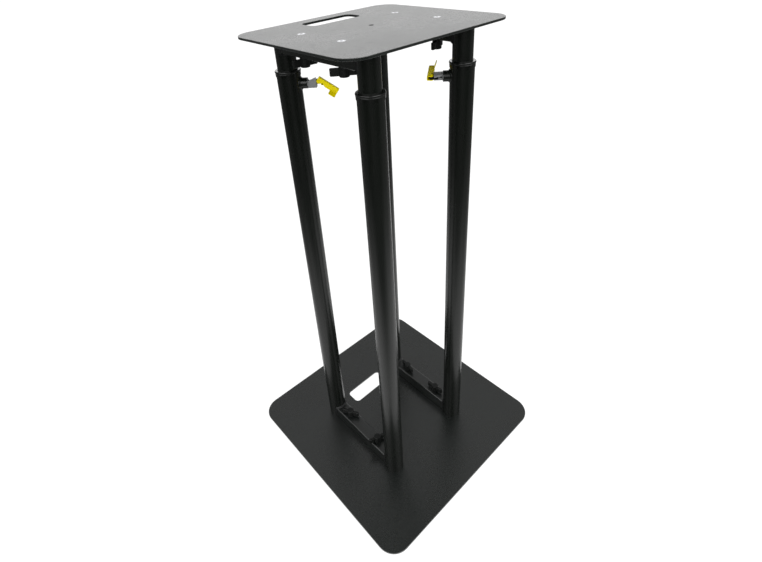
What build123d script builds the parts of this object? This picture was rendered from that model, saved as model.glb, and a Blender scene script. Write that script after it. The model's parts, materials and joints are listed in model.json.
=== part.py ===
from build123d import *
import math
import os

os.makedirs("parts", exist_ok=True)

# Height-adjustable loudspeaker stand, millimetres, +Z up.
# Origin: centre of the base plate, on the floor. Shown at its lowest setting.
# Two identical telescopic frames stand on a square base plate and carry a head plate.
# The left frame is at -X and the right frame at +X, one turned half round from the other.

# ---- driving dimensions: plates ----
base_size = 500.0
base_thick = 4.0
base_corner_r = 40.0
head_size_x = 350.0
head_size_y = 305.0
head_thick = 4.0
head_corner_r = 35.0
plate_edge_round = 0.6
stand_height = 970.0
slot_length = 108.0
slot_width = 40.0
slot_corner_r = 10.0
slot_centre_y = 105.0
centre_hole_r = 4.25

# ---- driving dimensions: legs ----
leg_x = 104.0
leg_y = 106.0
outer_tube_r = 21.0
outer_tube_wall = 2.0
inner_tube_r = 17.5
inner_tube_wall = 2.0
foot_gap = 1.0

# ---- driving dimensions: cross bars ----
bar_size = 30.0
bar_wall = 2.0
bar_corner_r = 2.5
weld_leg = 3.0

# ---- driving dimensions: plastic leg guides ----
collar_drop = 64.0
collar_height = 10.0
collar_r = 22.7
collar_lip = 3.0
collar_ridge = 4.0
collar_ridge_round = 1.5
collar_neck_r = 22.2
collar_neck_round = 0.8
collar_foot_r = 21.9
sleeve_length = 50.0
running_gap = 0.3
pin_gap = 0.05
face_gap = 0.2
glide_band = 16.0
glide_lip = 6.0
glide_spigot = 22.0
glide_bore_r = 8.0

# ---- driving dimensions: countersunk screws and wing nuts ----
screw_r = 3.0
screw_head_r = 6.4
screw_reach = 11.0
screw_x = 104.0
screw_y = 50.0
hole_gap = 0.3
hex_key = 4.0
hex_depth = 2.4
wing_hub_r = 8.0
wing_hub_height = 18.0
wing_hub_round = 1.5
wing_span = 44.0
wing_thick = 6.5
wing_low = 4.0
wing_high = 16.0
wing_round = 1.2
insert_r = 4.8
insert_height = 14.0
insert_groove_r = 4.3
insert_groove = 2.0
wing_angles_head = {"left_back": -10.0, "left_front": 140.5, "right_front": 20.0, "right_back": 65.0}
wing_angles_base = {"left_back": -64.0, "left_front": -17.0, "right_front": -85.0, "right_back": -98.0}

# ---- driving dimensions: leg locks ----
lock_drop = 25.2
boss_r = 9.5
boss_end = 32.0
boss_weld = 2.0
stem_r = 7.0
stem_length = 9.0
block_length = 15.5
block_width = 11.0
block_low = 8.1
block_high = 3.8
block_draft = 0.7
draft_low = 3.0
cheek_high = 10.2
block_round = 0.5
pivot_rise = 2.0
pivot_r = 1.5
rivet_head_r = 2.4
rivet_head = 0.4
lever_front = 36.5
lever_back = 4.7
lever_width = 8.2
lever_sheet = 1.2
lever_web_side = 7.0
lever_open_side = 1.3
lever_tip_side = 3.4
lever_side_start = 9.0
lever_side_end = 14.0
lever_bend_r = 1.6
lever_tip_r = 2.0
lobe_r = 4.1
lobe_offset = 0.9
lobe_gap = 0.55
lug_r = 2.1
cross_pin_r = 1.35
cross_pin_out = 6.5
cross_pin_low = 0.8
cross_pin_proud = 0.3
ear_length = 13.0
ear_width = 11.5
ear_from_tip = 0.5
ear_drop = 18.0
ear_corner_r = 2.0
plunger_r = 2.5
tongue_width = 5.0
tongue_r = 4.2
tongue_length = 12.0
shoe_r = 5.5
shoe_length = 3.0
shoe_gap = 0.35
spring_wire_r = 0.4
spring_bore_r = 4.0
spring_seat = 6.0
spring_turns = 6
flip_full = 100.0
lock_flip = {"left": 35.5, "right": 98.0}
lock_twist = {"left": 0.0, "right": -102.0}

# ---- sizes that follow from the ones above ----
outer_bore_r = outer_tube_r - outer_tube_wall
inner_bore_r = inner_tube_r - inner_tube_wall
sleeve_bore_r = inner_tube_r + running_gap
collar_top_z = stand_height - collar_drop
outer_tube_top = collar_top_z - collar_lip
collar_low_z = collar_top_z - collar_height
collar_step_z = collar_top_z - collar_ridge
lock_z = collar_top_z - lock_drop
head_under = stand_height - head_thick
head_bar_low = head_under - bar_size
base_bar_top = base_thick + bar_size
inner_tube_low = base_thick + foot_gap + glide_lip
glide_r = outer_bore_r - running_gap
hole_r = screw_r + hole_gap
screw_length = base_thick + bar_size + screw_reach
block_near = boss_end + face_gap
block_far = boss_end + block_length
shoe_window_r = shoe_r + 1.0
shoe_start = inner_tube_r + shoe_gap
shoe_end = shoe_start + shoe_length

legs = {
    "left_back": (-leg_x, leg_y),
    "left_front": (-leg_x, -leg_y),
    "right_front": (leg_x, -leg_y),
    "right_back": (leg_x, leg_y),
}
screws = {
    "left_back": (-screw_x, screw_y),
    "left_front": (-screw_x, -screw_y),
    "right_front": (screw_x, -screw_y),
    "right_back": (screw_x, screw_y),
}
sides = {"left": -leg_x, "right": leg_x}
lock_legs = {"left": "left_back", "right": "right_front"}


def save(shape, name, tint):
    """Writes one named piece."""
    shape.label = name
    shape.color = Color(*tint)
    export_step(shape, f"parts/{name}.step")


def rod(radius, low, high, x=0.0, y=0.0):
    """Upright cylinder between two heights."""
    return Pos(x, y, (low + high) / 2) * Cylinder(radius, high - low)


def tube(radius, bore, low, high, x=0.0, y=0.0):
    """Upright tube between two heights."""
    return rod(radius, low, high, x, y) - rod(bore, low - 1, high + 1, x, y)


black = (0.03, 0.03, 0.03)
plastic = (0.04, 0.04, 0.04)
zinc = (0.75, 0.76, 0.78)
brass = (0.72, 0.58, 0.30)
grey = (0.5, 0.5, 0.5)
yellow = (0.77, 0.71, 0.02)


# ---- flat plates ----
def plate(size_x, size_y, thick, corner_r):
    """Plate on z = 0 with round corners and a hand slot near its back edge."""
    outline = RectangleRounded(size_x, size_y, corner_r)
    slot = Pos(0, slot_centre_y) * RectangleRounded(slot_length, slot_width, slot_corner_r)
    slab = extrude(outline - slot, thick)
    rims = slab.edges().filter_by(lambda e: abs(e.center().Z - thick / 2) > thick * 0.4)
    return fillet(rims, plate_edge_round)


def screw_seat():
    """Cutter for a countersunk screw hanging below z = 0, its head flush with that face."""
    depth = screw_head_r - screw_r
    seat = Pos(0, 0, -depth / 2) * Cone(hole_r, hole_r + depth, depth)
    return seat + rod(hole_r, -screw_length, 0)


base_plate = plate(base_size, base_size, base_thick, base_corner_r)
head_plate = plate(head_size_x, head_size_y, head_thick, head_corner_r)
head_plate = Pos(0, 0, head_under) * head_plate
for x, y in screws.values():
    base_plate -= Pos(x, y, 0) * Rot(180, 0, 0) * screw_seat()
    head_plate -= Pos(x, y, stand_height) * screw_seat()
head_plate -= rod(centre_hole_r, head_under - 1, stand_height + 1)
save(base_plate, "base_plate", black)
save(head_plate, "head_plate", black)


# ---- lock frame: u runs along local X from the leg axis toward the stand's centre ----
def lock_place(side, twist=0.0):
    """Location of a lock on its leg, turned about its own axis by twist."""
    x, y = legs[lock_legs[side]]
    heading = math.degrees(math.atan2(-y, -x))
    return Pos(x, y, lock_z) * Rot(0, 0, heading) * Rot(twist, 0, 0)


def along(radius, start, end):
    """Cylinder along local X between two distances."""
    return Pos((start + end) / 2, 0, 0) * Rot(0, 90, 0) * Cylinder(radius, end - start)


# ---- telescopic legs ----
for name, (x, y) in legs.items():
    outer = tube(outer_tube_r, outer_bore_r, base_thick, outer_tube_top, x, y)
    inner = tube(inner_tube_r, inner_bore_r, inner_tube_low, head_under, x, y)
    ridge = rod(collar_r, collar_step_z, collar_top_z, x, y)
    ridge = fillet(ridge.edges().filter_by(GeomType.CIRCLE), collar_ridge_round)
    neck_height = collar_step_z - collar_low_z
    neck = Pos(x, y, collar_low_z + neck_height / 2) * Cone(collar_foot_r, collar_neck_r, neck_height)
    neck_rim = neck.edges().sort_by(Axis.Z)[-1]
    neck = fillet(neck_rim, collar_neck_round)
    sleeve = rod(outer_bore_r, outer_tube_top - sleeve_length, outer_tube_top, x, y)
    collar = ridge + neck - rod(outer_tube_r, collar_low_z - 1, outer_tube_top, x, y)
    guide = collar + sleeve
    guide -= rod(sleeve_bore_r, outer_tube_top - sleeve_length - 1, collar_top_z + 1, x, y)
    mouth = guide.edges().filter_by(GeomType.CIRCLE).group_by(Axis.Z)[-1].sort_by(SortBy.RADIUS)[0]
    guide = chamfer(mouth, running_gap)
    for side, leg in lock_legs.items():
        if leg == name:
            window = lock_place(side) * along(shoe_window_r, 0, boss_end)
            outer -= window
            guide -= window
    glide = rod(glide_r, inner_tube_low - glide_lip, inner_tube_low, x, y)
    glide += rod(inner_bore_r, inner_tube_low, inner_tube_low + glide_spigot, x, y)
    band = tube(glide_r, inner_tube_r, inner_tube_low, inner_tube_low + glide_band, x, y)
    glide = glide + band
    glide -= rod(glide_bore_r, inner_tube_low - glide_lip - 1, inner_tube_low + glide_spigot + 1, x, y)
    save(outer, f"outer_tube_{name}", black)
    save(inner, f"inner_tube_{name}", black)
    save(guide, f"leg_guide_{name}", plastic)
    save(glide, f"leg_glide_{name}", plastic)


# ---- cross bars between the two tubes of each frame ----
def cross_bar(low, tube_r):
    """Square tube along Y, its ends shaped to two upright tubes of radius tube_r."""
    outside = RectangleRounded(bar_size, bar_size, bar_corner_r)
    inside_r = max(bar_corner_r - bar_wall, 0.3)
    inside = RectangleRounded(bar_size - 2 * bar_wall, bar_size - 2 * bar_wall, inside_r)
    bar = extrude(Plane.XZ * (outside - inside), leg_y, both=True)
    bar = Pos(0, 0, low + bar_size / 2) * bar
    for y in (-leg_y, leg_y):
        bar -= rod(tube_r, low - 1, low + bar_size + 1, 0, y)
        bar -= Pos(0, y * 1.5, low + bar_size / 2) * Box(bar_size * 2, leg_y, bar_size * 2)
    for y in (-screw_y, screw_y):
        bar -= rod(hole_r, low - 1, low + bar_size + 1, 0, y)
    return bar


def bar_core(low):
    """Solid outline of a cross bar, end to end."""
    outside = RectangleRounded(bar_size, bar_size, bar_corner_r)
    return Pos(0, 0, low + bar_size / 2) * extrude(Plane.XZ * outside, leg_y, both=True)


def weld_bead(low, tube_r, side_y, plate_above):
    """Fillet weld round the end of a bar where it meets its tube."""
    half = bar_size / 2
    free_z = low if plate_above else low + bar_size
    tip_z = free_z - weld_leg if plate_above else free_z + weld_leg
    plate_z = low + bar_size if plate_above else low
    root = tube_r - 1.0
    slope = (tip_z - free_z) / weld_leg
    wedge = Plane.XZ * Polyline(
        (root, free_z), (tube_r + weld_leg, free_z), (root, tip_z + slope), close=True
    )
    spread = 2 * math.degrees(math.asin(half / tube_r))
    arc = revolve(make_face(wedge), Axis.Z, spread)
    arc = Rot(0, 0, -90 - spread / 2) * arc
    meet_y = -math.sqrt(tube_r**2 - half**2)
    far_x = half + weld_leg * 0.5
    far_y = -math.sqrt(tube_r**2 - min(far_x, tube_r - 0.2) ** 2)
    corner = Polyline((half - 1, meet_y + 1), (half - 1, meet_y - weld_leg), (half, meet_y - weld_leg),
                      (far_x, far_y), (far_x - 1, far_y + 1.5), close=True)
    side_low = min(free_z, plate_z)
    upright = Pos(0, 0, side_low) * extrude(make_face(corner), bar_size)
    bead = arc + upright + mirror(upright, Plane.YZ)
    if side_y < 0:
        bead = Rot(0, 0, 180) * bead
    bead = Pos(0, side_y, 0) * bead
    bead -= rod(tube_r, low - 20, low + bar_size + 20, 0, side_y)
    return bead - bar_core(low)


for side, x in sides.items():
    base_bar = Pos(x, 0, 0) * cross_bar(base_thick, outer_tube_r)
    head_bar = Pos(x, 0, 0) * cross_bar(head_bar_low, inner_tube_r)
    save(base_bar, f"base_bar_{side}", black)
    save(head_bar, f"head_bar_{side}", black)
    base_beads = [Pos(x, 0, 0) * weld_bead(base_thick, outer_tube_r, y, False) for y in (-leg_y, leg_y)]
    head_beads = [Pos(x, 0, 0) * weld_bead(head_bar_low, inner_tube_r, y, True) for y in (-leg_y, leg_y)]
    save(Compound(children=base_beads), f"base_bar_welds_{side}", black)
    save(Compound(children=head_beads), f"head_bar_welds_{side}", black)


# ---- countersunk screws ----
def screw():
    """Countersunk screw hanging below z = 0, with a hexagonal socket in its head."""
    depth = screw_head_r - screw_r
    head = Pos(0, 0, -depth / 2) * Cone(screw_r, screw_head_r, depth)
    body = head + rod(screw_r, -screw_length, -depth)
    tip = body.edges().sort_by(Axis.Z)[0]
    body = chamfer(tip, 0.8)
    socket = extrude(RegularPolygon(hex_key / 2, 6, major_radius=False), -hex_depth)
    return body - socket


head_screws = [Pos(x, y, stand_height) * screw() for x, y in screws.values()]
base_screws = [Pos(x, y, 0) * Rot(180, 0, 0) * screw() for x, y in screws.values()]
save(Compound(children=head_screws), "head_screws", zinc)
save(Compound(children=base_screws), "base_screws", zinc)


# ---- wing nuts, one threaded brass insert in each ----
def wing_nut(angle):
    """Two-winged plastic nut standing on z = 0."""
    hub = rod(wing_hub_r, 0, wing_hub_height)
    rim = hub.edges().sort_by(Axis.Z)[-1]
    hub = fillet(rim, wing_hub_round)
    wing_plan = SlotOverall(wing_span, wing_thick)
    wings = Pos(0, 0, wing_low) * extrude(wing_plan, wing_high - wing_low)
    flats = wings.edges().group_by(Axis.Z)
    wings = fillet(flats[0] + flats[-1], wing_round)
    body = Rot(0, 0, angle) * (hub + wings)
    return body - rod(insert_r, -1, insert_height)


def insert():
    """Threaded insert with a keying groove round its middle."""
    bush = tube(insert_r, hole_r, 0, insert_height)
    middle = insert_height / 2
    groove = tube(insert_r + 1, insert_groove_r, middle - insert_groove / 2, middle + insert_groove / 2)
    return bush - groove


for name, (x, y) in screws.items():
    on_base = Pos(x, y, base_bar_top)
    on_head = Pos(x, y, head_bar_low) * Rot(180, 0, 0)
    save(on_base * wing_nut(wing_angles_base[name]), f"base_wing_nut_{name}", plastic)
    save(on_base * insert(), f"base_nut_insert_{name}", brass)
    save(on_head * wing_nut(-wing_angles_head[name]), f"head_wing_nut_{name}", plastic)
    save(on_head * insert(), f"head_nut_insert_{name}", brass)


# ---- leg locks ----
def across(radius, length):
    """Cylinder along local Y through the middle."""
    return Rot(90, 0, 0) * Cylinder(radius, length)


def lobe_reach(flip):
    """Distance from the pivot to the block's end face at one lever angle."""
    return lobe_r + lobe_offset * math.cos(math.radians(flip))


# The pin is clamped when the lever is folded right down and backs off as it is lifted.
pivot_clamped = block_far + lobe_reach(flip_full) + lobe_gap
plunger_travel = lobe_reach(0) - lobe_reach(flip_full)
travel_per_degree = plunger_travel / flip_full
tongue_start = pivot_clamped - tongue_length


def lock_boss():
    """Round boss with a fillet weld, its root shaped to the outer tube."""
    boss = along(boss_r, 0, boss_end)
    weld = along(boss_r + boss_weld, 0, boss_end)
    weld &= rod(outer_tube_r + boss_weld, -boss_r * 2, boss_r * 2)
    outer_rim = weld.edges().filter_by(lambda e: e.center().X > 0 and e.geom_type != GeomType.LINE)
    weld = chamfer(outer_rim, boss_weld * 0.8)
    boss += weld
    boss -= rod(outer_tube_r, -boss_r * 3, boss_r * 3)
    boss -= along(stem_r + running_gap, boss_end - stem_length, boss_end + 1)
    return boss - along(shoe_window_r, 0, boss_end)


def lock_block():
    """Grey block with a round stem in the boss, a raised cheek and a slot for the tongue."""
    half = block_width / 2
    section = Plane.YZ * Polyline(
        (half, block_high),
        (-half, block_high),
        (-half, -draft_low),
        (block_draft - half, -block_low),
        (half - block_draft, -block_low),
        (half, -draft_low),
        close=True,
    )
    block = Pos(block_near, 0, 0) * extrude(make_face(section), block_far - block_near)
    cheek = Plane.XZ * Polyline(
        (block_near, 0),
        (block_far, 0),
        (block_far, cheek_high),
        (block_near, block_high),
        close=True,
    )
    block += Pos(0, -tongue_width / 2, 0) * extrude(make_face(cheek), half - tongue_width / 2)
    long_edges = block.edges().filter_by(lambda e: e.length > block_length * 0.9)
    low_edges = long_edges.filter_by(lambda e: e.center().Z < -block_low * 0.9)
    block = fillet(low_edges, block_round)
    block += along(stem_r, block_near - stem_length, block_near + 1)
    block -= along(plunger_r + pin_gap, 0, tongue_start + 3)
    block -= along(spring_bore_r, 0, boss_end + spring_seat)
    room_y = tongue_width + 2 * face_gap
    slot = Box(tongue_length * 2, room_y, 40, align=(Align.MIN, Align.CENTER, Align.MIN))
    return block - Pos(tongue_start - running_gap, 0, pivot_rise - tongue_r - running_gap) * slot


def pivot_rivet():
    """Rivet through the lever and the tongue, with a low head at both ends."""
    pin = Cylinder(pivot_r, lever_width)
    for end in (-1, 1):
        pin += Pos(0, 0, end * (lever_width + rivet_head) / 2) * Cylinder(rivet_head_r, rivet_head)
    rims = pin.edges().filter_by(GeomType.CIRCLE).group_by(Axis.Z)
    pin = fillet(rims[0] + rims[-1], rivet_head * 0.6)
    return Rot(90, 0, 0) * pin


def cross_pin():
    """Plain pin that holds the lever's two sides apart."""
    pin = Cylinder(cross_pin_r, lever_width + 2 * cross_pin_proud)
    pin = chamfer(pin.edges().filter_by(GeomType.CIRCLE), cross_pin_proud * 0.8)
    return Pos(cross_pin_out, 0, -cross_pin_low) * Rot(90, 0, 0) * pin


def lever():
    """Folded sheet lever about its pivot, pointing along +X with its open side down."""
    high = lever_web_side
    side = Plane.XZ * Polyline(
        (-lever_back, high),
        (-lever_back, -lever_open_side),
        (lever_side_start, -lever_open_side),
        (lever_side_end, -lever_tip_side),
        (lever_front, -lever_tip_side),
        (lever_front, high),
        close=True,
    )
    shell = extrude(make_face(side), lever_width / 2, both=True)
    tip_edges = shell.edges().filter_by(Axis.Y).sort_by(Axis.X)[-2:]
    shell = fillet(tip_edges, lever_tip_r)
    bends = shell.edges().filter_by(Axis.X).sort_by(Axis.Z)[-2:]
    shell = fillet(bends, lever_bend_r)
    shell += Pos(-lobe_offset, 0, 0) * across(lobe_r, lever_width)
    shell += Pos(cross_pin_out, 0, -cross_pin_low) * across(lug_r, lever_width)
    room_y = lever_width - 2 * lever_sheet
    room = Pos(0, 0, high - lever_sheet)
    room *= Box(lever_front * 3, room_y, lever_front, align=(Align.CENTER, Align.CENTER, Align.MAX))
    shell -= room
    ear = RectangleRounded(ear_length, ear_width * 2, ear_corner_r)
    ear &= Pos(0, -ear_width / 2) * Rectangle(ear_length, ear_width)
    tab = Rot(ear_drop, 0, 0) * extrude(ear, lever_sheet)
    ear_x = lever_front - ear_from_tip - ear_length / 2
    shell += Pos(ear_x, -lever_width / 2 + lever_sheet * 0.6, -lever_tip_side) * tab
    shell -= across(pivot_r, lever_width + 2)
    return shell - Pos(cross_pin_out, 0, -cross_pin_low) * across(cross_pin_r, lever_width + 2)


def plunger():
    """Pressure pin in its clamped place, with a flat tongue for the lever's rivet."""
    shank = along(plunger_r, shoe_start + shoe_length / 2, tongue_start + 1)
    blade = Pos((tongue_start + pivot_clamped) / 2, 0, pivot_rise)
    blade *= Box(tongue_length, tongue_width, 2 * tongue_r)
    eye = Pos(pivot_clamped, 0, pivot_rise) * across(tongue_r, tongue_width)
    hole = Pos(pivot_clamped, 0, pivot_rise) * across(pivot_r + pin_gap, tongue_width + 2)
    return shank + blade + eye - hole


def shoe():
    """Plastic shoe on the end of the pin."""
    body = along(shoe_r, shoe_start, shoe_end)
    body = chamfer(body.edges().filter_by(GeomType.CIRCLE), running_gap)
    return body - along(plunger_r, shoe_start + shoe_length / 2, shoe_end + 1)


def spring():
    """Spring round the pin that presses on the shoe, at its length with the lever lifted."""
    start = shoe_end + plunger_travel + face_gap + spring_wire_r
    end = boss_end + spring_seat - face_gap - spring_wire_r
    coil_r = (plunger_r + spring_bore_r) / 2
    path = Helix((end - start) / spring_turns, end - start, coil_r)
    wire = Plane(origin=path @ 0, z_dir=path % 0) * Circle(spring_wire_r)
    return Pos(start, 0, 0) * Rot(0, 90, 0) * sweep(wire, path=path)


for side in sides:
    turned = lock_place(side, lock_twist[side])
    flip = lock_flip[side]
    backed_off = turned * Pos(travel_per_degree * (flip_full - flip), 0, 0)
    hinge = backed_off * Pos(pivot_clamped, 0, pivot_rise) * Rot(0, flip, 0)
    save(lock_place(side) * lock_boss(), f"lock_boss_{side}", black)
    save(turned * lock_block(), f"lock_block_{side}", grey)
    save(turned * spring(), f"lock_spring_{side}", zinc)
    save(backed_off * plunger(), f"lock_plunger_{side}", zinc)
    save(backed_off * shoe(), f"lock_shoe_{side}", plastic)
    save(hinge * lever(), f"lock_lever_{side}", yellow)
    save(hinge * pivot_rivet(), f"lock_rivet_{side}", yellow)
    save(hinge * cross_pin(), f"lock_cross_pin_{side}", black)
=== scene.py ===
import json
import math

import bmesh
import bpy
from mathutils import Matrix, Vector


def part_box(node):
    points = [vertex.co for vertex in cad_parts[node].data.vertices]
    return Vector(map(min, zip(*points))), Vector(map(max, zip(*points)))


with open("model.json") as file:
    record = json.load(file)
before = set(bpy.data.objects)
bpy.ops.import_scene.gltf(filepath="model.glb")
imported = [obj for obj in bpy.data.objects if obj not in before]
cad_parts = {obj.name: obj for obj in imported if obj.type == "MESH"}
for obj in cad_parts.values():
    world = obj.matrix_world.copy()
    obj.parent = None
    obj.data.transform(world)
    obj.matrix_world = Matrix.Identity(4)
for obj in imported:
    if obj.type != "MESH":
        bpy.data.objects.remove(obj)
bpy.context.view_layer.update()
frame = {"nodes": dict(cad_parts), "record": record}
nodes = frame["nodes"]
print("frame loaded:", len(nodes), "parts")

sideNames = ("left", "right")
noiseMiddle = 0.5  # the grey that a noise swings about


# one socket of a shader, with maths written as plain expressions
class Wire:
    def __init__(self, net, socket):
        self.net = net
        self.socket = socket

    def __add__(self, other):
        return self.net.maths("ADD", self, other)

    def __radd__(self, other):
        return self.net.maths("ADD", other, self)

    def __sub__(self, other):
        return self.net.maths("SUBTRACT", self, other)

    def __rsub__(self, other):
        return self.net.maths("SUBTRACT", other, self)

    def __mul__(self, other):
        return self.net.maths("MULTIPLY", self, other)

    def __rmul__(self, other):
        return self.net.maths("MULTIPLY", other, self)

    def __abs__(self):
        return self.net.maths("ABSOLUTE", self)


# the node tree of one material, or of the world
class Net:
    def __init__(self, tree):
        self.tree = tree
        tree.nodes.clear()

    def add(self, kind, settings=None, values=None, out=0):
        node = self.tree.nodes.new(kind)
        for key, value in (settings or {}).items():
            if key == "stops":
                self.setStops(node.color_ramp, value)
            else:
                setattr(node, key, value)
        for key, value in (values or {}).items():
            socket = node.inputs[key]
            if isinstance(value, Wire):
                self.tree.links.new(value.socket, socket)
            else:
                socket.default_value = value
        return Wire(self, node.outputs[out]) if node.outputs else None

    def setStops(self, ramp, stops):
        while len(ramp.elements) < len(stops):
            ramp.elements.new(1.0)
        for element, (place, grey) in zip(ramp.elements, stops):
            element.position = place
            element.color = (grey, grey, grey, 1.0)

    def maths(self, operation, *values):
        return self.add("ShaderNodeMath", {"operation": operation}, dict(enumerate(values)))

    def place(self):
        # where a point is on the object, in metres
        return self.add("ShaderNodeTexCoord", out="Object")

    def axes(self, vector):
        split = self.add("ShaderNodeSeparateXYZ", values={0: vector})
        return [Wire(self, socket) for socket in split.socket.node.outputs]

    def moved(self, vector, scale):
        return self.add("ShaderNodeMapping", values={"Vector": vector, "Scale": scale})

    def noise(self, vector, scale, detail, crumble):
        values = {"Vector": vector, "Scale": scale, "Detail": detail, "Roughness": crumble}
        return self.add("ShaderNodeTexNoise", values=values)

    def rays(self):
        # what kind of ray looks at the surface
        found = self.add("ShaderNodeLightPath").socket.node.outputs
        return {socket.name: Wire(self, socket) for socket in found}

    def ramp(self, value, stops):
        return self.add("ShaderNodeValToRGB", {"stops": stops}, {0: value})

    def mixColour(self, amount, first, second):
        values = {0: amount, 6: first, 7: second}
        return self.add("ShaderNodeMix", {"data_type": "RGBA"}, values, out=2)

    def mixShader(self, amount, first, second):
        return self.add("ShaderNodeMixShader", values={0: amount, 1: first, 2: second})

    def shaded(self, amount, colour, shades):
        # one colour between a darker and a lighter shade
        dark, light = shades
        return self.mixColour(amount, tint(colour, dark), tint(colour, light))

    def bump(self, height, distance):
        values = {"Strength": 1.0, "Distance": distance, "Height": height}
        return self.add("ShaderNodeBump", values=values)

    def finish(self, surface):
        self.add("ShaderNodeOutputMaterial", values={0: surface})


def newMaterial(name):
    material = bpy.data.materials.new(name)
    material.use_nodes = True
    return material, Net(material.node_tree)


def tint(colour, factor=1.0):
    red, green, blue = colour
    return (red * factor, green * factor, blue * factor, 1.0)


def swing(noise, reach):
    # a noise as a little more or less than nothing
    return (noise - noiseMiddle) * reach


# black powder coat: fine orange peel, faint mottling, a few dull rubbed places
plateCoat = {
    "colour": (0.0034, 0.0050, 0.0041),
    "shades": (0.82, 1.18),
    "roughness": 0.28,
    "specular": 0.85,
    "peelScale": 620.0,
    "peelDepth": 0.00012,
    "peelDull": 0.06,
    "fleckScale": 1400.0,
    "fleckStops": [(0.52, 0.0), (0.72, 1.0)],
    "fleckLift": 0.55,
    "fleckShade": 2.4,
    "fleckHeight": 0.3,
    "mottleScale": 7.0,
    "mottleDull": 0.10,
    "rubScale": (60.0, 60.0, 60.0),
    "rubStops": [(0.55, 0.0), (0.8, 1.0)],
    "rubDull": 0.06,
}
tubeCoat = {
    **plateCoat,
    "colour": (0.0032, 0.0042, 0.0032),
    "roughness": 0.25,
    "specular": 0.42,
    "peelScale": 420.0,
    "peelDepth": 0.00006,
    "fleckScale": 1500.0,
    "fleckLift": 0.25,
    "mottleScale": 9.0,
    "rubScale": (160.0, 160.0, 5.0),
    "rubDull": 0.05,
}
# the plate's coat on the base bars, with a darker colour that paints shade on their front faces
shadedBarCoat = {
    **plateCoat,
    "colour": (0.0016, 0.0028, 0.0022),
    "roughness": 0.30,
    "specular": 0.80,
}


def powderCoat(name, look):
    material, net = newMaterial(name)
    place = net.place()
    peel = net.noise(place, look["peelScale"], detail=3.0, crumble=0.55)
    fleck = net.ramp(net.noise(place, look["fleckScale"], detail=2.0, crumble=0.6), look["fleckStops"])
    mottle = net.noise(place, look["mottleScale"], detail=4.0, crumble=0.6)
    rubbing = net.noise(net.moved(place, look["rubScale"]), 1.0, detail=5.0, crumble=0.65)
    rubbed = net.ramp(rubbing, look["rubStops"])
    base = net.shaded(mottle, look["colour"], look["shades"])
    colour = net.mixColour(fleck * look["fleckLift"], base, tint(look["colour"], look["fleckShade"]))
    roughness = look["roughness"] + swing(mottle, look["mottleDull"]) + rubbed * look["rubDull"]
    net.finish(net.add("ShaderNodeBsdfPrincipled", values={
        "Base Color": colour,
        "Roughness": roughness + swing(peel, look["peelDull"]),
        "Normal": net.bump(peel + fleck * look["fleckHeight"], look["peelDepth"]),
        "Specular IOR Level": look["specular"],
    }))
    return material


# weld beads under the same coat, with the scales of a hand-laid bead round each tube
weldCoat = {
    "colour": (0.0070, 0.0074, 0.0076),
    "shades": (0.8, 1.25),
    "roughness": 0.30,
    "specular": 0.25,
    "scales": 46.0,
    "scaleDepth": 0.0005,
    "scaleHeight": 0.5,
    "scaleLean": 300.0,
    "wobbleScale": 90.0,
    "wobbleBend": 5.0,
    "peelScale": 500.0,
    "peelHeight": 0.25,
    "peelDull": 0.1,
}


def weldBead(name, centre, look):
    material, net = newMaterial(name)
    place = net.place()
    x, y, z = net.axes(place)
    turn = net.maths("ARCTAN2", abs(y) - centre.y, x - centre.x)  # round the tube, on front and back
    wobble = net.noise(place, look["wobbleScale"], detail=2.0, crumble=0.5)
    bend = turn * look["scales"] + wobble * look["wobbleBend"] + z * look["scaleLean"]
    ripple = net.maths("SINE", bend)
    peel = net.noise(place, look["peelScale"], detail=2.0, crumble=0.5)
    height = ripple * look["scaleHeight"] + peel * look["peelHeight"]
    net.finish(net.add("ShaderNodeBsdfPrincipled", values={
        "Base Color": net.shaded(wobble, look["colour"], look["shades"]),
        "Roughness": look["roughness"] + swing(peel, look["peelDull"]),
        "Normal": net.bump(height, look["scaleDepth"]),
        "Specular IOR Level": look["specular"],
    }))
    return material


# moulded plastics: fine grain, and faint streaks of flow along the height
ringPlastic = {
    "colour": (0.0036, 0.0042, 0.0035),
    "shades": (0.85, 1.2),
    "roughness": 0.13,
    "specular": 0.5,
    "grainScale": 900.0,
    "grainDepth": 0.00001,
    "grainDull": 0.06,
    "flowScale": 26.0,
    "flowStretch": (1.0, 1.0, 2.5),
    "flowDull": 0.08,
}
nutPlastic = {
    **ringPlastic,
    "colour": (0.0045, 0.0052, 0.0047),
    "roughness": 0.42,
    "specular": 0.24,
    "grainScale": 1700.0,
    "grainDepth": 0.00005,
    "flowScale": 45.0,
}
glidePlastic = {
    **ringPlastic,
    "colour": (0.020, 0.020, 0.021),
    "roughness": 0.5,
    "specular": 0.4,
    "grainScale": 800.0,
    "grainDepth": 0.00003,
    "flowScale": 40.0,
}


def mouldedPlastic(name, look):
    material, net = newMaterial(name)
    place = net.place()
    grain = net.noise(place, look["grainScale"], detail=2.0, crumble=0.6)
    flow = net.noise(net.moved(place, look["flowStretch"]), look["flowScale"], detail=3.0, crumble=0.5)
    roughness = look["roughness"] + swing(flow, look["flowDull"]) + swing(grain, look["grainDull"])
    net.finish(net.add("ShaderNodeBsdfPrincipled", values={
        "Base Color": net.shaded(flow, look["colour"], look["shades"]),
        "Roughness": roughness,
        "Normal": net.bump(grain, look["grainDepth"]),
        "Specular IOR Level": look["specular"],
    }))
    return material


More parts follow.
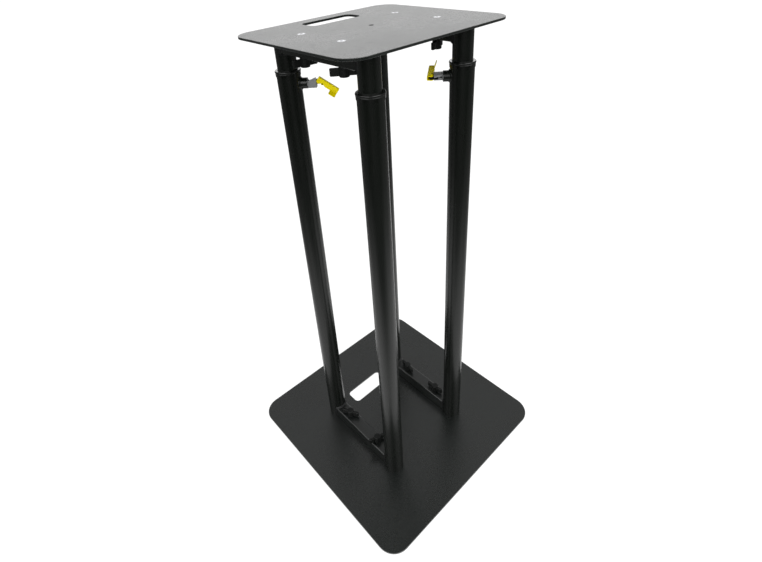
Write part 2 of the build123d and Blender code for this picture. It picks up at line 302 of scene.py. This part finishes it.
# bare and plated metals: brushed or turned grain under a cloudy shade
zincPlate = {
    "colour": (0.66, 0.67, 0.69),
    "shade": (0.42, 0.43, 0.46),
    "roughness": 0.24,
    "grain": (500.0, 500.0, 500.0),
    "grainDepth": 0.00001,
    "grainDull": 0.08,
    "cloudScale": 260.0,
    "cloudStops": [(0.35, 0.0), (0.7, 1.0)],
    "cloudDull": 0.16,
}
turnedBrass = {
    **zincPlate,
    "colour": (0.70, 0.53, 0.26),
    "shade": (0.48, 0.34, 0.14),
    "roughness": 0.26,
    "grain": (60.0, 60.0, 3200.0),
    "grainDepth": 0.00002,
    "cloudScale": 200.0,
}
blackedSteel = {
    **zincPlate,
    "colour": (0.035, 0.036, 0.040),
    "shade": (0.018, 0.018, 0.020),
    "roughness": 0.38,
    "grain": (700.0, 700.0, 700.0),
    "cloudScale": 300.0,
}


def plainMetal(name, look):
    material, net = newMaterial(name)
    place = net.place()
    grain = net.noise(net.moved(place, look["grain"]), 1.0, detail=3.0, crumble=0.6)
    cloud = net.noise(place, look["cloudScale"], detail=3.0, crumble=0.6)
    clouded = net.ramp(cloud, look["cloudStops"])
    roughness = look["roughness"] + swing(cloud, look["cloudDull"]) + swing(grain, look["grainDull"])
    net.finish(net.add("ShaderNodeBsdfPrincipled", values={
        "Base Color": net.mixColour(clouded, tint(look["colour"]), tint(look["shade"])),
        "Roughness": roughness,
        "Metallic": 1.0,
        "Normal": net.bump(grain, look["grainDepth"]),
    }))
    return material


# die-cast lock block in a grey satin finish, with small dark pits
castBlock = {
    "colour": (0.185, 0.190, 0.190),
    "shades": (0.86, 1.14),
    "roughness": 0.38,
    "specular": 0.50,
    "grainScale": 1100.0,
    "grainDepth": 0.00006,
    "grainDull": 0.14,
    "cloudScale": 180.0,
    "pitScale": 900.0,
    "pitStops": [(0.28, 1.0), (0.36, 0.0)],
    "pitAmount": 0.6,
    "pitShade": 0.45,
    "pitHeight": 0.5,
}


def castGrey(name, look):
    material, net = newMaterial(name)
    place = net.place()
    grain = net.noise(place, look["grainScale"], detail=3.0, crumble=0.6)
    cloud = net.noise(place, look["cloudScale"], detail=3.0, crumble=0.55)
    pits = net.ramp(net.noise(place, look["pitScale"], detail=2.0, crumble=0.5), look["pitStops"])
    base = net.shaded(cloud, look["colour"], look["shades"])
    colour = net.mixColour(pits * look["pitAmount"], base, tint(look["colour"], look["pitShade"]))
    net.finish(net.add("ShaderNodeBsdfPrincipled", values={
        "Base Color": colour,
        "Roughness": look["roughness"] + swing(grain, look["grainDull"]),
        "Normal": net.bump(grain - pits * look["pitHeight"], look["grainDepth"]),
        "Specular IOR Level": look["specular"],
    }))
    return material


# yellow powder coat on the folded levers, a little grimy
leverCoat = {
    "colour": (0.720, 0.605, 0.0012),
    "shades": (0.93, 1.06),
    "roughness": 0.36,
    "specular": 0.08,
    "peelScale": 900.0,
    "peelDepth": 0.00001,
    "peelDull": 0.08,
    "mottleScale": 70.0,
    "grimeScale": 120.0,
    "grimeStops": [(0.56, 0.0), (0.82, 1.0)],
    "grimeColour": (0.30, 0.24, 0.012),
    "grime": 0.06,
    "grimeDull": 0.12,
}


def leverYellow(name, look):
    material, net = newMaterial(name)
    place = net.place()
    peel = net.noise(place, look["peelScale"], detail=3.0, crumble=0.55)
    mottle = net.noise(place, look["mottleScale"], detail=3.0, crumble=0.55)
    grime = net.ramp(net.noise(place, look["grimeScale"], detail=4.0, crumble=0.7), look["grimeStops"])
    base = net.shaded(mottle, look["colour"], look["shades"])
    roughness = look["roughness"] + swing(peel, look["peelDull"]) + grime * look["grimeDull"]
    net.finish(net.add("ShaderNodeBsdfPrincipled", values={
        "Base Color": net.mixColour(grime * look["grime"], base, tint(look["grimeColour"])),
        "Roughness": roughness,
        "Normal": net.bump(peel, look["peelDepth"]),
        "Specular IOR Level": look["specular"],
    }))
    return material


def dress(material, name):
    # a part keeps its own mesh and takes one finish all over
    slots = nodes[name].data.materials
    slots.clear()
    slots.append(material)


finishes = {
    "powder_coat_plate": powderCoat("plateCoat", plateCoat),
    "powder_coat_bar": powderCoat("shadedBarCoat", shadedBarCoat),
    "powder_coat_tube": powderCoat("tubeCoat", tubeCoat),
    "guide_plastic": mouldedPlastic("ringPlastic", ringPlastic),
    "glide_plastic": mouldedPlastic("glidePlastic", glidePlastic),
    "wing_nut_plastic": mouldedPlastic("nutPlastic", nutPlastic),
    "insert_brass": plainMetal("turnedBrass", turnedBrass),
    "bright_zinc": plainMetal("zincPlate", zincPlate),
    "black_steel": plainMetal("blackedSteel", blackedSteel),
    "cast_block": castGrey("castBlock", castBlock),
    "yellow_coat": leverYellow("leverCoat", leverCoat),
}
for part in frame["record"]["subparts"]:
    dress(finishes[part["material_slot"]], part["node"])
for side in sideNames:
    dress(finishes["powder_coat_bar"], f"base_bar_{side}")
    dress(finishes["powder_coat_tube"], f"head_bar_{side}")
    low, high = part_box(f"inner_tube_{side}_back")
    tubeCentre = (Vector(low) + Vector(high)) / 2
    for level in ("base", "head"):
        dress(weldBead(f"weldCoat_{level}_{side}", tubeCentre, weldCoat), f"{level}_bar_welds_{side}")
print("finishes on:", len(finishes), "kinds and the weld beads")

# floor: a wide pale sheet that keeps a soft shadow of the stand. What gloss shows of the floor
# is a painted reflection, a glow that is white near the stand and darker in front of it and
# to the sides. front points at the viewer, and the stops are metres from the stand's middle.
floorLook = {
    "half": 30.0,
    "squares": 8,
    "drop": 0.0004,
    "paper": (0.79, 0.81),
    "grainScale": 40.0,
    "shadow": 0.25,
    "glow": 0.905,
    "front": (-0.666, -0.746),
    "spread": 0.28,
    "rampMetres": 2.0,
    "frontStops": [(0.34, 1.0), (0.80, 0.12)],
    "leftStops": [(0.32, 1.0), (0.62, 0.72), (0.92, 0.31), (1.25, 0.16), (2.0, 0.13)],
    "rightStops": [(0.32, 1.0), (0.64, 0.80), (0.95, 0.40), (1.30, 0.22), (2.0, 0.16)],
}


def greyDiffuse(net, grey):
    return net.add("ShaderNodeBsdfDiffuse", values={"Color": (grey, grey, grey, 1.0)})


def greyGlow(net, grey, strength):
    return net.add("ShaderNodeEmission", values={"Color": (grey, grey, grey, 1.0), "Strength": strength})


def floorPaper(look):
    material, net = newMaterial("floorPaper")
    place = net.place()
    x, y, z = net.axes(place)
    frontX, frontY = look["front"]
    metres = look["rampMetres"]

    def fade(distance, stops):
        return net.ramp(distance * (1.0 / metres), [(far / metres, grey) for far, grey in stops])

    ahead = x * frontX + y * frontY
    across = x * -frontY + y * frontX
    front = fade(ahead - abs(across) * look["spread"], look["frontStops"])
    reflectionShape = front * fade(across, look["rightStops"]) * fade(across * -1.0, look["leftStops"])
    dark, light = look["paper"]
    grain = net.noise(place, look["grainScale"], detail=3.0, crumble=0.5)
    bounce = net.mixShader(grain, greyDiffuse(net, dark), greyDiffuse(net, light))
    # painted reflection: glossy rays alone see the floor glow, white near the stand and darker in front
    # and to the sides
    paintedReflection = net.mixShader(reflectionShape, greyGlow(net, 0.0, 1.0), greyGlow(net, 1.0, 1.0))
    glow = greyGlow(net, 1.0, look["glow"])
    shown = net.add("ShaderNodeAddShader", values={0: greyDiffuse(net, look["shadow"]), 1: glow})
    rays = net.rays()
    eye = net.maths("MAXIMUM", rays["Is Camera Ray"], rays["Is Transmission Ray"])
    net.finish(net.mixShader(eye, net.mixShader(rays["Is Glossy Ray"], bounce, paintedReflection), shown))
    return material


def paleFloor(look):
    squares = look["squares"]
    mesh = bmesh.new()
    bmesh.ops.create_grid(mesh, x_segments=squares, y_segments=squares, size=look["half"])
    bmesh.ops.translate(mesh, verts=mesh.verts, vec=(0, 0, -look["drop"]))
    data = bpy.data.meshes.new("floor")
    mesh.to_mesh(data)
    mesh.free()
    data.materials.append(floorPaper(look))
    floor = bpy.data.objects.new("floor", data)
    bpy.context.scene.collection.objects.link(floor)


paleFloor(floorLook)
print("floor laid")

# room: pale, lightest just over the horizon and darker overhead. Glossy rays alone also see it
# darker to the sides, a painted reflection, and see bright patches behind the viewer, painted
# highlights that light nothing. Stops go by height and by the distance across or behind, on a ball of 1
# round the stand.
roomLook = {
    "strength": 1.7,
    "across": (0.772, -0.636),
    "acrossStops": [(0.40, 1.0), (0.80, 0.28)],
    "heightStops": [(0.08, 0.43), (0.15, 0.68), (0.25, 1.20), (0.34, 1.12), (0.45, 0.42),
                    (0.64, 0.18), (0.80, 0.335)],
    "highlightStrength": 1.7,
    "highlightBehind": [(0.0, 0.0), (0.15, 1.0)],
    "highlightHeight": [(0.22, 0.0), (0.38, 1.0), (0.80, 1.0), (0.92, 0.0)],
    "highlightAcross": [(0.14, 0.0), (0.30, 1.0)],
}


def paleRoom(look):
    world = bpy.data.worlds.new("room")
    bpy.context.scene.world = world
    world.use_nodes = True
    net = Net(world.node_tree)
    x, y, height = net.axes(net.place())
    rays = net.rays()
    gloss = rays["Is Glossy Ray"]
    acrossX, acrossY = look["across"]
    across = abs(x * acrossX + y * acrossY)
    behind = x * acrossY - y * acrossX
    # painted reflection: only glossy rays see the room darker to the sides
    reflectionNarrowed = net.ramp(across, look["acrossStops"]) * gloss + (1.0 - gloss)
    # painted highlights: bright patches behind the viewer that only glossy rays see, lighting nothing
    paintedHighlights = net.ramp(behind, look["highlightBehind"]) * net.ramp(height, look["highlightHeight"])
    paintedHighlights = paintedHighlights * net.ramp(across, look["highlightAcross"]) * gloss
    room = net.ramp(height, look["heightStops"]) * reflectionNarrowed + paintedHighlights * look["highlightStrength"]
    lit = net.add("ShaderNodeBackground", values={"Color": room, "Strength": look["strength"]})
    white = net.add("ShaderNodeBackground", values={"Color": (1.0, 1.0, 1.0, 1.0), "Strength": 1.0})
    eye = net.maths("MAXIMUM", rays["Is Camera Ray"], rays["Is Transmission Ray"])
    net.add("ShaderNodeOutputWorld", values={0: net.mixShader(eye, lit, white)})


# lamps: a large key on the viewer's left and a higher fill on the right
aimAt = (0.0, 0.0, 0.55)
keyLamp = {"at": (-2.4, -1.9, 1.3), "size": 2.4, "power": 27.0}
fillLamp = {"at": (1.0, -2.7, 2.6), "size": 2.2, "power": 54.0}


def softLamp(name, look):
    lamp = bpy.data.lights.new(name, "AREA")
    lamp.shape = "SQUARE"
    lamp.size = look["size"]
    lamp.energy = look["power"]
    shown = bpy.data.objects.new(name, lamp)
    shown.location = look["at"]
    heading = Vector(aimAt) - Vector(look["at"])
    shown.rotation_euler = heading.to_track_quat("-Z", "Y").to_euler()
    shown.visible_camera = False
    shown.visible_glossy = False
    bpy.context.scene.collection.objects.link(shown)


paleRoom(roomLook)
softLamp("keyLamp", keyLamp)
softLamp("fillLamp", fillLamp)
print("room and lamps set")

# camera: place in metres, heading from +Y toward +X, downward pitch and roll in degrees
cameraLook = {
    "at": (-0.5481, -0.6144, 1.1135),
    "heading": 39.495,
    "pitch": 30.300,
    "roll": -4.544,
    "focalPixels": 481.21,
    "centreX": 365.76,
    "centreY": 205.09,
    "frameWidth": 762.0,
    "frameHeight": 562.0,
    "sensor": 36.0,
    "farthest": 200.0,
}


def standCamera(look):
    width, height = look["frameWidth"], look["frameHeight"]
    camera = bpy.data.cameras.new("camera")
    camera.sensor_width = look["sensor"]
    camera.lens = look["sensor"] * look["focalPixels"] / width
    camera.shift_x = (width / 2 - look["centreX"]) / width
    camera.shift_y = (look["centreY"] - height / 2) / width
    camera.clip_end = look["farthest"]
    shown = bpy.data.objects.new("camera", camera)
    turn = Matrix.Rotation(-math.radians(look["heading"]), 4, "Z")
    turn = turn @ Matrix.Rotation(math.pi / 2 - math.radians(look["pitch"]), 4, "X")
    turn = turn @ Matrix.Rotation(math.radians(look["roll"]), 4, "Z")
    shown.matrix_world = Matrix.Translation(look["at"]) @ turn
    bpy.context.scene.collection.objects.link(shown)
    bpy.context.scene.camera = shown


standCamera(cameraLook)
bpy.context.scene.view_settings.view_transform = "Standard"
print("camera set")
